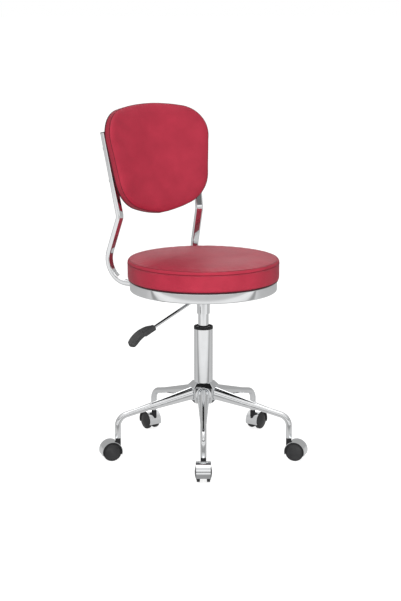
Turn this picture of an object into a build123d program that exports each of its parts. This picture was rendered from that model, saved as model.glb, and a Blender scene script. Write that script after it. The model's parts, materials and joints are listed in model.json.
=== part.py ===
from build123d import *
import os
from math import atan, cos, degrees, hypot, radians, sin, sqrt, tan

# Rolling stylist stool: a five-legged chromed base on twin-wheel casters, a gas lift, a round
# cushion on a chromed ring, and a small reclined backrest on two flat-tube uprights.
# Millimetres and degrees. +Z is up and the origin is on the floor, on the column's axis. The
# sitter faces -Y, so the backrest is at +Y and the height lever points to the sitter's right, -X.

# Base and legs
leg_count = 5
base_turn = -3.0  # how far the free-swivelling base stands turned from the seat's middle plane
stem_circle_radius = 238.0
hub_sides = 5  # a pentagon, each face square to a leg; its sizes are from the axis to a face
hub_foot_apothem = 28.9
hub_shoulder_apothem = 35.7
hub_top_apothem = 26.0
hub_corner = 5.5
hub_bottom = 139.0
hub_shoulder = 182.0
hub_top = 193.5
hub_recess_radius = 31.5  # the recess round each leg's root is cut from here outward
hub_recess_width = 41.0
hub_recess_depth = 39.0
leg_root_radius = 28.0  # where a leg's inner end stands on the floor of its pocket in the hub
leg_root_height = 164.4
leg_root_width = 34.0
leg_root_depth = 35.0
leg_slope = 13.4
leg_tube_diameter = 16.0
leg_taper_end = 182.0
leg_elbow_radius = 30.0
leg_end_height = 58.0
leg_wall = 1.5
leg_pocket_gap = 0.9

# Casters
wheel_diameter = 50.0
wheel_inner_face = 8.7
wheel_tread_edge = 17.0
wheel_dome_top = 22.0
wheel_disc_radius = 21.6
wheel_boss_radius = 8.0  # the plain ring round the bore on the inner face
wheel_recess_outer = 20.5
wheel_recess_depth = 2.5
wheel_inner_chamfer = 1.2
wheel_outer_round = 2.0
wheel_groove = 0.8  # the ring groove between the tread and the disc
axle_end_wall = 2.0
axle_play = 0.5
trail = 19.6
axle_diameter = 6.0
running_gap = 0.05
hood_radius = 27.8
hood_thickness = 1.4
hood_half_width = 18.4
hood_low_angle = 19.0  # how far the hood reaches below the axle's height at each end
liner_low_angle = 11.0
liner_thickness = 0.7
rim_inner_radius = 22.2  # the two black rims that close the fork's sides round the wheels
rim_inner_face = 17.6
rim_outer_face = 19.2
boss_diameter = 14.5
boss_top = 56.5
stem_diameter = 10.0
stem_bottom = 33.0
stem_top = 84.0
socket_flange_height = 1.0
socket_top = 87.0
stem_chamfer = 1.0
fork_side_gap = 1.2  # between the fork's middle plate and each wheel
boss_root = 9.0  # how far above the axle the boss starts and the hood is cut for it

# Column and gas lift
column_radius = 25.0
column_wall = 1.5
column_bottom = 141.0
column_top = 339.0
collar_top = 346.5
collar_radius = 25.5
collar_bore_radius = 20.5
collar_fillet = 1.8
bush_bottom = 255.0
bush_top = 343.5
floor_thickness = 4.0
bearing_inner_radius = 5.3
bearing_outer_radius = 13.0
cage_thickness = 2.0
ball_radius = 1.9
ball_count = 12
washer_thickness = 1.5
bumper_height = 8.0
rod_radius = 5.0
rod_chamfer = 0.8
rod_bottom = 134.0
piston_bottom = 304.0
piston_height = 10.0
clip_radius = 9.0
clip_thickness = 2.2
clip_play = 0.3  # between the clip and the column's floor
lift_tube_radius = 14.0
lift_tube_wall = 1.5
lift_tube_bottom = 190.0
lift_tube_top = 424.0
seal_height = 14.0
valve_block_bottom = 400.0
sleeve_radius = 17.0
sleeve_bottom = 380.0

# Release lever and mechanism
pin_radius = 4.0
pin_bottom = 408.0
pin_top = 433.9
pin_dome_radius = 6.0
housing_length_out = 34.0
housing_length_in = 45.0
housing_half_width = 25.0
housing_bottom = 419.0
housing_wall = 3.0
housing_slot_edge = 20.0
flange_length = 150.0
flange_width = 130.0
flange_bottom = 459.0
flange_top = 462.0
flange_corner = 10.0
pivot_x = -26.0
pivot_z = 430.0
pivot_radius = 2.0
lever_slope = 22.1
lever_axis_height = 432.2  # where the rod's straight line would cross the column's axis
lever_rod_diameter = 8.0
lever_rod_start = 32.0
lever_rod_end = 197.0
lever_arm_width = 12.0
lever_arm_outline = [  # x and z, from the finger over the release pin round to the rod's end
    (7, 438), (7, 434), (-18, 434), (-22, 424), (-30, 413), (-40, 411), (-41.5, 420.5), (-32, 438)
]
paddle_thickness = 9.0
grip_block_start = 177.0
grip_block_end = 212.0
grip_block_size = 15.0
grip_block_corner = 4.0
paddle_end = 267.5  # distances along the lever's line, then across it
paddle_far_edge = [(177, -6), (188, -23), (205, -28), (233, -23), (262, -6)]
paddle_near_edge = [(264, 23), (249, 18), (231, 10), (211, 7.5)]

# Seat
cushion_radius = 200.0
cushion_bottom = 474.0
cushion_top = 531.0
cushion_top_fillet = 9.0
cushion_bottom_fillet = 6.0
board_radius = 184.0
board_bottom = 462.0
ring_outer_radius = 194.5
ring_height = 26.6
ring_width = 10.0
ring_bottom = 445.4
tube_wall = 1.5
tube_corner = 3.0
vent_radius = 3.0
tab_length = 22.0
tab_width = 26.0
tab_thickness = 2.0
bolt_spacing_x = 120.0
bolt_spacing_y = 100.0
tee_nut_radius = 4.5
bolt_radius = 3.0
bolt_head_radius = 5.5
bolt_head_height = 4.0
tab_screw_radius = 2.0
tab_screw_head_radius = 4.0
tab_screw_head_height = 2.5
tab_screw_length = 9.0

# Uprights, each in an upright plane turned outward from straight back
upright_turn = 18.0
upright_offset = 75.0
upright_width = 20.0
upright_thickness = 14.0
upright_corner = 4.0
upright_low_height = 453.0
upright_start = 135.0
upright_sweep_radius = 61.0
upright_lower_lean = 19.7
upright_kink_reach = 195.0
upright_kink_height = 629.0
upright_kink_radius = 25.0
upright_upper_lean = 12.6
upright_top_height = 850.0
cap_plate = 2.0
cap_plug = 14.0

# Backrest, bent to a cylinder that leans back; its plane touches the board's back face in the middle
recline = 13.0
back_y = 220.0
back_z = 722.0
backrest_curve = 437.0  # radius of the board's back face
backrest_low = 130.0  # how far below and above that middle the cylinder is taken
backrest_high = 220.0
backrest_reach = 90.0  # how far in front of the plane the bent sides may come
backrest_board_thickness = 7.0
backrest_board_inset = 9.0
backrest_pad_thickness = 31.0
backrest_front_fillet = 10.0
backrest_bolt_heights = (726.0, 810.0)
spacer_radius = 9.0
back_bolt_head_radius = 6.0
back_bolt_reach = 9.5

wheel_radius = wheel_diameter / 2
wheel_centre_radius = stem_circle_radius + trail
leg_angles = [90 + base_turn + k * 360 / leg_count for k in range(leg_count)]
ring_inner_radius = ring_outer_radius - ring_width
ring_middle_height = ring_bottom + ring_height / 2

os.makedirs("parts", exist_ok=True)


def save(builder, name):
    builder.part.label = name
    export_step(builder.part, f"parts/{name}.step")


def radial_plane(angle):
    """Upright plane through the column's axis: local x runs outward, local y up."""
    a = radians(angle)
    return Plane(origin=(0, 0, 0), x_dir=(cos(a), sin(a), 0), z_dir=(sin(a), -cos(a), 0))


def across(plane, x, y, z=0.0):
    """A plane square to local x of the given one, at its local point, for a section or a hole."""
    place = plane.from_local_coords((x, y, z))
    return Plane(origin=place, x_dir=plane.z_dir, z_dir=plane.x_dir)


def ring(inner, outer, bottom, top):
    """A plain ring or tube round the column's axis."""
    with BuildPart() as made:
        with BuildSketch(Plane.XY.offset(bottom)):
            Circle(outer)
            Circle(inner, mode=Mode.SUBTRACT)
        extrude(amount=top - bottom)
    return made


# ---------------------------------------------------------------- base
leg_corner_height = leg_root_height - (stem_circle_radius - leg_root_radius) * tan(radians(leg_slope))


def leg_line_height(radius):
    return leg_root_height - (radius - leg_root_radius) * tan(radians(leg_slope))


def leg_solid(angle, grow):
    """A leg's taper, elbow and drop, every section grown by the given amount."""
    plane = radial_plane(angle)
    slope = radians(leg_slope)
    along = plane.x_dir * cos(slope) - Vector(0, 0, 1) * sin(slope)
    taper_end = plane.from_local_coords((leg_taper_end, leg_line_height(leg_taper_end), 0))
    with BuildPart() as made:
        with BuildSketch(across(plane, leg_root_radius, leg_root_height)):
            Ellipse(leg_root_width / 2 + grow, leg_root_depth / 2 + grow)
        with BuildSketch(Plane(origin=taper_end, x_dir=plane.z_dir, z_dir=along)) as tube:
            Circle(leg_tube_diameter / 2 + grow)
        loft()
        with BuildLine(plane) as route:
            FilletPolyline(
                (leg_taper_end, leg_line_height(leg_taper_end)),
                (stem_circle_radius, leg_corner_height),
                (stem_circle_radius, leg_end_height),
                radius=leg_elbow_radius,
            )
        sweep(sections=tube.sketch, path=route.wires()[0])
    return made.part


def hub_section(height, apothem):
    """A level pentagon with rounded corners."""
    with BuildSketch(Plane.XY.offset(height)) as section:
        RegularPolygon(apothem, hub_sides, major_radius=False, rotation=leg_angles[0] + 180 / hub_sides)
        fillet(section.vertices(), hub_corner)
    return section.sketch


with BuildPart() as hub:
    shoulder_section = hub_section(hub_shoulder, hub_shoulder_apothem)
    loft([hub_section(hub_bottom, hub_foot_apothem), shoulder_section])
    loft([shoulder_section, hub_section(hub_top, hub_top_apothem)])
    with BuildSketch(Plane.XY.offset(hub_bottom)):
        Circle(column_radius)
    extrude(amount=hub_top - hub_bottom, mode=Mode.SUBTRACT)
    for angle in leg_angles:
        add(leg_solid(angle, leg_pocket_gap), mode=Mode.SUBTRACT)
        with BuildSketch(across(radial_plane(angle), hub_recess_radius, leg_root_height)):
            Ellipse(hub_recess_width / 2, hub_recess_depth / 2)
        extrude(amount=hub_recess_radius, mode=Mode.SUBTRACT)
save(hub, "hub")

for number, angle in enumerate(leg_angles, 1):
    with BuildPart() as leg:
        add(leg_solid(angle, 0))
        add(leg_solid(angle, -leg_wall), mode=Mode.SUBTRACT)
    save(leg, f"leg_{number}")

with BuildPart() as leg_sockets:
    with BuildSketch(Plane.XY.offset(leg_end_height)):
        with PolarLocations(stem_circle_radius, leg_count, start_angle=leg_angles[0]):
            Circle(leg_tube_diameter / 2 - leg_wall)
    extrude(amount=socket_top - leg_end_height)
    with BuildSketch(Plane.XY.offset(leg_end_height)):
        with PolarLocations(stem_circle_radius, leg_count, start_angle=leg_angles[0]):
            Circle(boss_diameter / 2)
    extrude(amount=-socket_flange_height)
    with BuildSketch(Plane.XY.offset(leg_end_height - socket_flange_height)):
        with PolarLocations(stem_circle_radius, leg_count, start_angle=leg_angles[0]):
            Circle(stem_diameter / 2 + running_gap)
    extrude(amount=socket_top, mode=Mode.SUBTRACT)
save(leg_sockets, "leg_sockets")

column_inner = column_radius - column_wall
save(ring(column_inner, column_radius, column_bottom, column_top), "column_tube")

with BuildPart() as column_collar:
    with BuildSketch(Plane.XZ) as collar_profile:
        with Locations(((collar_bore_radius + collar_radius) / 2, (column_top + collar_top) / 2)):
            Rectangle(collar_radius - collar_bore_radius, collar_top - column_top)
        fillet(collar_profile.vertices().group_by(Axis.Y)[-1], collar_fillet)
    revolve(axis=Axis.Z)
save(column_collar, "column_collar")

with BuildPart() as guide_bush:
    with BuildSketch(Plane.XY.offset(bush_bottom)):
        Circle(column_inner)
    extrude(amount=column_top - bush_bottom)
    with BuildSketch(Plane.XY.offset(column_top)):
        Circle(collar_bore_radius)
    extrude(amount=bush_top - column_top)
    with BuildSketch(Plane.XY.offset(bush_bottom)):
        Circle(lift_tube_radius + running_gap)
    extrude(amount=bush_top - bush_bottom, mode=Mode.SUBTRACT)
save(guide_bush, "guide_bush")

floor_top = column_bottom + floor_thickness
save(ring(rod_radius + running_gap, column_inner, column_bottom, floor_top), "column_floor")

# ---------------------------------------------------------------- lift rod, turning on the thrust bearing
ball_circle_radius = (bearing_inner_radius + bearing_outer_radius) / 2
ball_centre_height = floor_top + ball_radius + running_gap
washer_bottom = ball_centre_height + ball_radius + running_gap
washer_top = washer_bottom + washer_thickness

with BuildPart() as thrust_bearing:
    with BuildSketch(Plane.XY.offset(ball_centre_height - cage_thickness / 2)):
        Circle(bearing_outer_radius)
        Circle(bearing_inner_radius, mode=Mode.SUBTRACT)
        with PolarLocations(ball_circle_radius, ball_count):
            Circle(ball_radius + running_gap, mode=Mode.SUBTRACT)
    extrude(amount=cage_thickness)
    with BuildSketch(Plane.XY.offset(washer_bottom)):
        Circle(bearing_outer_radius)
        Circle(rod_radius, mode=Mode.SUBTRACT)
    extrude(amount=washer_thickness)
    with Locations((0, 0, ball_centre_height)):
        with PolarLocations(ball_circle_radius, ball_count):
            Sphere(ball_radius)
save(thrust_bearing, "thrust_bearing")

save(ring(rod_radius, bearing_outer_radius, washer_top, washer_top + bumper_height), "rubber_bumper")

with BuildPart() as piston_rod:
    with BuildSketch(Plane.XY.offset(rod_bottom)):
        Circle(rod_radius)
    extrude(amount=piston_bottom + piston_height - rod_bottom)
    with BuildSketch(Plane.XY.offset(piston_bottom)):
        Circle(lift_tube_radius - lift_tube_wall - running_gap)
    extrude(amount=piston_height)
    chamfer(piston_rod.edges().group_by(Axis.Z)[0], rod_chamfer)
save(piston_rod, "piston_rod")

clip_top = column_bottom - clip_play
save(ring(rod_radius, clip_radius, clip_top - clip_thickness, clip_top), "retaining_clip")

# ---------------------------------------------------------------- gas lift's upper tube, on the seat
with BuildPart() as lift_tube:
    with BuildSketch(Plane.XY.offset(lift_tube_bottom)):
        Circle(lift_tube_radius)
    extrude(amount=lift_tube_top - lift_tube_bottom)
    with BuildSketch(Plane.XY.offset(lift_tube_bottom)):
        Circle(lift_tube_radius - lift_tube_wall)
    extrude(amount=valve_block_bottom - lift_tube_bottom, mode=Mode.SUBTRACT)
    with BuildSketch(Plane.XY.offset(valve_block_bottom)):
        Circle(pin_radius + running_gap)
    extrude(amount=lift_tube_top - valve_block_bottom, mode=Mode.SUBTRACT)
save(lift_tube, "lift_tube")

save(
    ring(
        rod_radius + running_gap,
        lift_tube_radius - lift_tube_wall,
        lift_tube_bottom,
        lift_tube_bottom + seal_height,
    ),
    "cylinder_seal",
)
save(ring(lift_tube_radius, sleeve_radius, sleeve_bottom, lift_tube_top), "taper_sleeve")

with BuildPart() as release_pin:
    with BuildSketch(Plane.XY.offset(pin_bottom)):
        Circle(pin_radius)
    extrude(amount=pin_top - pin_dome_radius - pin_bottom)
    with Locations((0, 0, pin_top - pin_dome_radius)):
        Sphere(pin_dome_radius)
    with BuildSketch(Plane.XY.offset(pin_bottom)):
        Circle(pin_radius)
    extrude(amount=pin_top - pin_bottom, mode=Mode.INTERSECT)
save(release_pin, "release_pin")

# ---------------------------------------------------------------- mechanism under the seat
housing_middle_x = (housing_length_in - housing_length_out) / 2
housing_length = housing_length_in + housing_length_out
bolt_places = [
    (x, y)
    for x in (-bolt_spacing_x / 2, bolt_spacing_x / 2)
    for y in (-bolt_spacing_y / 2, bolt_spacing_y / 2)
]

with BuildPart() as mechanism_housing:
    with BuildSketch(Plane.XY.offset(flange_bottom)):
        RectangleRounded(flange_length, flange_width, flange_corner)
        with Locations(*bolt_places):
            Circle(bolt_radius, mode=Mode.SUBTRACT)
    extrude(amount=flange_top - flange_bottom)
    with BuildSketch(Plane.XY.offset(housing_bottom)):
        with Locations((housing_middle_x, 0)):
            Rectangle(housing_length, 2 * housing_half_width)
    extrude(amount=flange_bottom - housing_bottom)
    with BuildSketch(Plane.XY.offset(housing_bottom + housing_wall)):
        with Locations((housing_middle_x - housing_wall, 0)):
            Rectangle(housing_length, 2 * (housing_half_width - housing_wall))
    extrude(amount=flange_bottom - housing_bottom - housing_wall, mode=Mode.SUBTRACT)
    with BuildSketch(Plane.XY.offset(housing_bottom)):
        with Locations((-(housing_slot_edge + housing_length_out) / 2, 0)):
            Rectangle(housing_length_out - housing_slot_edge, 2 * (housing_half_width - housing_wall))
        Circle(sleeve_radius)
    extrude(amount=housing_wall, mode=Mode.SUBTRACT)
    with BuildSketch(Plane.XZ.offset(-housing_half_width)):
        with Locations((pivot_x, pivot_z)):
            Circle(pivot_radius)
    extrude(amount=2 * housing_half_width, mode=Mode.SUBTRACT)
save(mechanism_housing, "mechanism_housing")

with BuildPart() as lever_pin:
    with BuildSketch(Plane.XZ.offset(-housing_half_width)):
        with Locations((pivot_x, pivot_z)):
            Circle(pivot_radius)
    extrude(amount=2 * housing_half_width)
    for side in (-1, 1):
        with BuildSketch(Plane.XZ.offset(side * housing_half_width)):
            with Locations((pivot_x, pivot_z)):
                Circle(2 * pivot_radius)
        extrude(amount=side * pivot_radius)
save(lever_pin, "lever_pin")


def lever_point(distance):
    """A point on the lever rod's straight line, at a distance along it from the column's axis."""
    slope = radians(lever_slope)
    return Vector(-distance * cos(slope), 0, lever_axis_height - distance * sin(slope))


lever_plane = Plane(
    origin=lever_point(0),
    x_dir=lever_point(1) - lever_point(0),
    z_dir=(-sin(radians(lever_slope)), 0, cos(radians(lever_slope))),
)
rod_section = Plane(origin=lever_point(lever_rod_start), z_dir=lever_plane.x_dir)

with BuildPart() as lever_rod:
    with BuildSketch(Plane.XZ.offset(-lever_arm_width / 2)):
        with BuildLine():
            Polyline(*lever_arm_outline, close=True)
        make_face()
        with Locations((pivot_x, pivot_z)):
            Circle(pivot_radius + running_gap, mode=Mode.SUBTRACT)
    extrude(amount=lever_arm_width)
    with BuildSketch(rod_section):
        Circle(lever_rod_diameter / 2)
    extrude(amount=lever_rod_end - lever_rod_start)
save(lever_rod, "lever_rod")

with BuildPart() as lever_grip:
    with BuildSketch(lever_plane.offset(-paddle_thickness / 2)):
        with BuildLine():
            Spline(*paddle_far_edge)
            ThreePointArc(paddle_far_edge[-1], (paddle_end, 8), paddle_near_edge[0])
            Spline(*paddle_near_edge)
            Polyline(paddle_near_edge[-1], (grip_block_start, grip_block_size / 2), paddle_far_edge[0])
        make_face()
    extrude(amount=paddle_thickness)
    with BuildSketch(Plane(origin=lever_point(grip_block_start), x_dir=(0, 1, 0), z_dir=lever_plane.x_dir)):
        RectangleRounded(grip_block_size, grip_block_size, grip_block_corner)
    extrude(amount=grip_block_end - grip_block_start)
    with BuildSketch(rod_section):
        Circle(lever_rod_diameter / 2)
    extrude(amount=lever_rod_end - lever_rod_start, mode=Mode.SUBTRACT)
save(lever_grip, "lever_grip")

# ---------------------------------------------------------------- seat
tab_angles = [45 + 90 * k for k in range(4)]
tab_middle_radius = ring_inner_radius - tab_length / 2
tab_places = [
    (tab_middle_radius * cos(radians(a)), tab_middle_radius * sin(radians(a))) for a in tab_angles
]

with BuildPart() as seat_board:
    with BuildSketch(Plane.XY.offset(board_bottom)):
        Circle(board_radius)
        with Locations(*bolt_places):
            Circle(tee_nut_radius, mode=Mode.SUBTRACT)
    extrude(amount=cushion_bottom - board_bottom)
    with BuildSketch(Plane.XY.offset(board_bottom)):
        with Locations(*tab_places):
            Circle(tab_screw_radius)
    extrude(amount=tab_screw_length, mode=Mode.SUBTRACT)
save(seat_board, "seat_board")

with BuildPart() as seat_cushion:
    with BuildSketch(Plane.XZ) as cushion_half:
        with Locations((cushion_radius / 2, (cushion_bottom + cushion_top) / 2)):
            Rectangle(cushion_radius, cushion_top - cushion_bottom)
        rim = cushion_half.vertices().group_by(Axis.X)[-1]
        fillet(rim.sort_by(Axis.Y)[-1], cushion_top_fillet)
        rim = cushion_half.vertices().group_by(Axis.X)[-1]
        fillet(rim.sort_by(Axis.Y)[0], cushion_bottom_fillet)
    revolve(axis=Axis.Z)
save(seat_cushion, "seat_cushion")


def upright_plane(side):
    """Side 1 is the sitter's left, +X. Local x runs back and outward, local y up."""
    turn = radians(upright_turn)
    return Plane(
        origin=(side * upright_offset, 0, 0),
        x_dir=(side * sin(turn), cos(turn), 0),
        z_dir=(cos(turn), -side * sin(turn), 0),
    )


def upright_reach(height):
    """How far back the upright's straight upper run is at a height, in its own plane."""
    return upright_kink_reach + (height - upright_kink_height) * tan(radians(upright_upper_lean))


def upright_solid(side, shrink):
    """One upright's tube before its ends are cut, every section shrunk by the given amount."""
    plane = upright_plane(side)
    sweep_corner = upright_kink_reach + (upright_kink_height - upright_low_height) * tan(
        radians(upright_lower_lean)
    )
    with BuildPart() as made:
        with BuildLine(plane) as route:
            FilletPolyline(
                (upright_start, upright_low_height),
                (sweep_corner, upright_low_height),
                (upright_kink_reach, upright_kink_height),
                (upright_reach(upright_top_height), upright_top_height),
                radius=(upright_sweep_radius, upright_kink_radius),
            )
        with BuildSketch(across(plane, upright_start, upright_low_height)) as section:
            RectangleRounded(
                upright_width - 2 * shrink, upright_thickness - 2 * shrink, upright_corner - shrink
            )
        sweep(sections=section.sketch, path=route.wires()[0])
    return made.part


ring_section_centre = ((ring_outer_radius + ring_inner_radius) / 2, ring_middle_height)
upright_foot = upright_plane(1).from_local_coords((upright_start + upright_width, ring_middle_height, 0))
foot_angle = degrees(atan(upright_foot.Y / upright_foot.X))

with BuildPart() as seat_ring:
    with BuildSketch(Plane.XZ):
        with Locations(ring_section_centre):
            RectangleRounded(ring_width, ring_height, tube_corner)
            RectangleRounded(
                ring_width - 2 * tube_wall, ring_height - 2 * tube_wall, tube_corner - tube_wall,
                mode=Mode.SUBTRACT,
            )
    revolve(axis=Axis.Z)
    for angle in (foot_angle, 180 - foot_angle):
        with BuildSketch(across(radial_plane(angle), ring_inner_radius - tube_wall, ring_middle_height)):
            Circle(vent_radius)
        extrude(amount=2 * tube_wall + 1, mode=Mode.SUBTRACT)
    for angle in tab_angles:
        with BuildSketch(across(radial_plane(angle), ring_inner_radius + tube_wall / 2,
                                board_bottom - tab_thickness / 2)):
            Rectangle(tab_width, tab_thickness)
        extrude(amount=-tab_length - tube_wall / 2)
    with BuildSketch(Plane.XY.offset(board_bottom - tab_thickness)):
        with Locations(*tab_places):
            Circle(tab_screw_radius)
    extrude(amount=tab_thickness, mode=Mode.SUBTRACT)
save(seat_ring, "seat_ring")

with BuildPart() as seat_screws:
    with BuildSketch(Plane.XY.offset(flange_bottom)):
        with Locations(*bolt_places):
            Circle(bolt_head_radius)
    extrude(amount=-bolt_head_height)
    with BuildSketch(Plane.XY.offset(flange_bottom)):
        with Locations(*bolt_places):
            Circle(bolt_radius)
    extrude(amount=cushion_bottom - flange_bottom)
    with BuildSketch(Plane.XY.offset(board_bottom - tab_thickness)):
        with Locations(*tab_places):
            Circle(tab_screw_head_radius)
    extrude(amount=-tab_screw_head_height)
    with BuildSketch(Plane.XY.offset(board_bottom - tab_thickness)):
        with Locations(*tab_places):
            Circle(tab_screw_radius)
    extrude(amount=tab_thickness + tab_screw_length)
save(seat_screws, "seat_screws")

# ---------------------------------------------------------------- backrest
back_plane = Plane(
    origin=(0, back_y, back_z),
    x_dir=(1, 0, 0),
    z_dir=(0, -cos(radians(recline)), sin(radians(recline))),
)


curve_plane = Plane(  # square to the cylinder's axis, on the axis, below the backrest
    origin=back_plane.from_local_coords((0, -backrest_low, backrest_curve)),
    x_dir=(1, 0, 0),
    z_dir=back_plane.y_dir,
)


def bolt_plane(side, height):
    """Square to the bent board, its origin on the upright's middle line at a height."""
    place = upright_plane(side).from_local_coords((upright_reach(height), height, 0))
    on_axis = curve_plane.from_local_coords((0, 0, curve_plane.to_local_coords(place).Z))
    return Plane(origin=place, x_dir=curve_plane.z_dir, z_dir=on_axis - place)


bolt_planes = [bolt_plane(side, height) for side in (-1, 1) for height in backrest_bolt_heights]


def depth_behind_board(plane):
    """How far the plane's origin is behind the board's bent back face."""
    place = curve_plane.to_local_coords(plane.origin)
    return hypot(place.X, place.Y) - backrest_curve


for side, name in ((1, "upright_left"), (-1, "upright_right")):
    with BuildPart() as upright:
        add(upright_solid(side, 0))
        add(upright_solid(side, tube_wall), mode=Mode.SUBTRACT)
        with BuildSketch(Plane.XY.offset(ring_bottom - ring_height)):
            Circle(ring_outer_radius)
        extrude(amount=3 * ring_height, mode=Mode.SUBTRACT)
        for plane in bolt_planes:
            with BuildSketch(plane.offset(-back_bolt_reach)):
                Circle(bolt_radius)
            extrude(amount=2 * back_bolt_reach, mode=Mode.SUBTRACT)
    save(upright, name)

with BuildPart() as upright_caps:
    for side in (-1, 1):
        plane = upright_plane(side)
        lean = radians(upright_upper_lean)
        along = plane.x_dir * sin(lean) + Vector(0, 0, 1) * cos(lean)
        top = plane.from_local_coords((upright_reach(upright_top_height), upright_top_height, 0))
        cap_plane = Plane(origin=top, x_dir=plane.z_dir, z_dir=along)
        with BuildSketch(cap_plane):
            RectangleRounded(upright_width, upright_thickness, upright_corner)
        extrude(amount=cap_plate)
        with BuildSketch(cap_plane):
            RectangleRounded(
                upright_width - 2 * tube_wall, upright_thickness - 2 * tube_wall, upright_corner - tube_wall
            )
        extrude(amount=-cap_plug)
save(upright_caps, "upright_caps")


def backrest_outline():
    """The shield outline on the backrest plane: tangent arcs down one half, mirrored to the other."""
    top = ThreePointArc((0, 199), (52, 196.5), (106, 185.5))
    shoulder = TangentArc(top @ 1, (166, 94), tangent=top % 1)
    side = TangentArc(shoulder @ 1, (150.5, -9), tangent=shoulder % 1)
    lower_corner = TangentArc(side @ 1, (89, -82.5), tangent=side % 1)
    bottom = TangentArc(lower_corner @ 1, (0, -100), tangent=lower_corner % 1)
    for arc in (top, shoulder, side, lower_corner, bottom):
        mirror(arc, about=Plane.YZ)


def bent_shield(inset, depth, thickness):
    """The shield outline cut from the cylinder's shell, at a depth in front of the board's back face."""
    with BuildPart() as made:
        with BuildSketch(back_plane):
            with BuildLine():
                backrest_outline()
            make_face()
            if inset:
                offset(amount=-inset)
        extrude(amount=backrest_reach)
        with BuildSketch(curve_plane):
            Circle(backrest_curve - depth)
            Circle(backrest_curve - depth - thickness, mode=Mode.SUBTRACT)
        extrude(amount=backrest_low + backrest_high, mode=Mode.INTERSECT)
    return made.part


with BuildPart() as backrest_board:
    add(bent_shield(backrest_board_inset, 0, backrest_board_thickness))
    for plane in bolt_planes:
        with BuildSketch(plane):
            Circle(tee_nut_radius)
        extrude(amount=4 * back_bolt_reach, mode=Mode.SUBTRACT)
save(backrest_board, "backrest_board")

front_radius = backrest_curve - backrest_board_thickness - backrest_pad_thickness
with BuildPart() as backrest_cushion:
    add(bent_shield(0, backrest_board_thickness, backrest_pad_thickness))
    bent_faces = backrest_cushion.faces().filter_by(GeomType.CYLINDER)
    front_face = bent_faces.sort_by(lambda face: abs(face.radius - front_radius))[0]
    fillet(front_face.edges(), backrest_front_fillet)
save(backrest_cushion, "backrest_cushion")

with BuildPart() as backrest_spacers:
    for plane in bolt_planes:
        with BuildSketch(plane.offset(depth_behind_board(plane))):
            Circle(spacer_radius)
            Circle(bolt_radius, mode=Mode.SUBTRACT)
        extrude(amount=-depth_behind_board(plane))
    for side in (-1, 1):
        add(upright_solid(side, 0), mode=Mode.SUBTRACT)
save(backrest_spacers, "backrest_spacers")

with BuildPart() as backrest_bolts:
    for plane in bolt_planes:
        with BuildSketch(plane.offset(-back_bolt_reach)):
            Circle(back_bolt_head_radius)
        extrude(amount=back_bolt_reach)
    for side in (-1, 1):
        add(upright_solid(side, 0), mode=Mode.SUBTRACT)
    for plane in bolt_planes:
        with BuildSketch(plane.offset(-back_bolt_reach)):
            Circle(bolt_radius)
        extrude(amount=back_bolt_reach + depth_behind_board(plane) + backrest_board_thickness)
save(backrest_bolts, "backrest_bolts")

with BuildPart() as tee_nuts:
    with BuildSketch(Plane.XY.offset(board_bottom)):
        with Locations(*bolt_places):
            Circle(tee_nut_radius)
            Circle(bolt_radius, mode=Mode.SUBTRACT)
    extrude(amount=cushion_bottom - board_bottom)
    for plane in bolt_planes:
        with BuildSketch(plane.offset(depth_behind_board(plane))):
            Circle(tee_nut_radius)
            Circle(bolt_radius, mode=Mode.SUBTRACT)
        extrude(amount=backrest_board_thickness)
save(tee_nuts, "tee_nuts")

# ---------------------------------------------------------------- casters
wheel_centre = (wheel_centre_radius, wheel_radius)


def arch(outer, inner, low_angle):
    """Half-ring round the wheel's centre, reaching low_angle below the axle at both ends."""
    CenterArc(wheel_centre, outer, -low_angle, 180 + 2 * low_angle)
    CenterArc(wheel_centre, inner, -low_angle, 180 + 2 * low_angle)
    for end in (-low_angle, 180 + low_angle):
        a = radians(end)
        Line(
            (wheel_centre_radius + inner * cos(a), wheel_radius + inner * sin(a)),
            (wheel_centre_radius + outer * cos(a), wheel_radius + outer * sin(a)),
        )


def stem_section(height, angle):
    """Level plane at a height, centred on a caster's stem."""
    return Plane(origin=radial_plane(angle).from_local_coords((stem_circle_radius, height, 0)))


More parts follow.
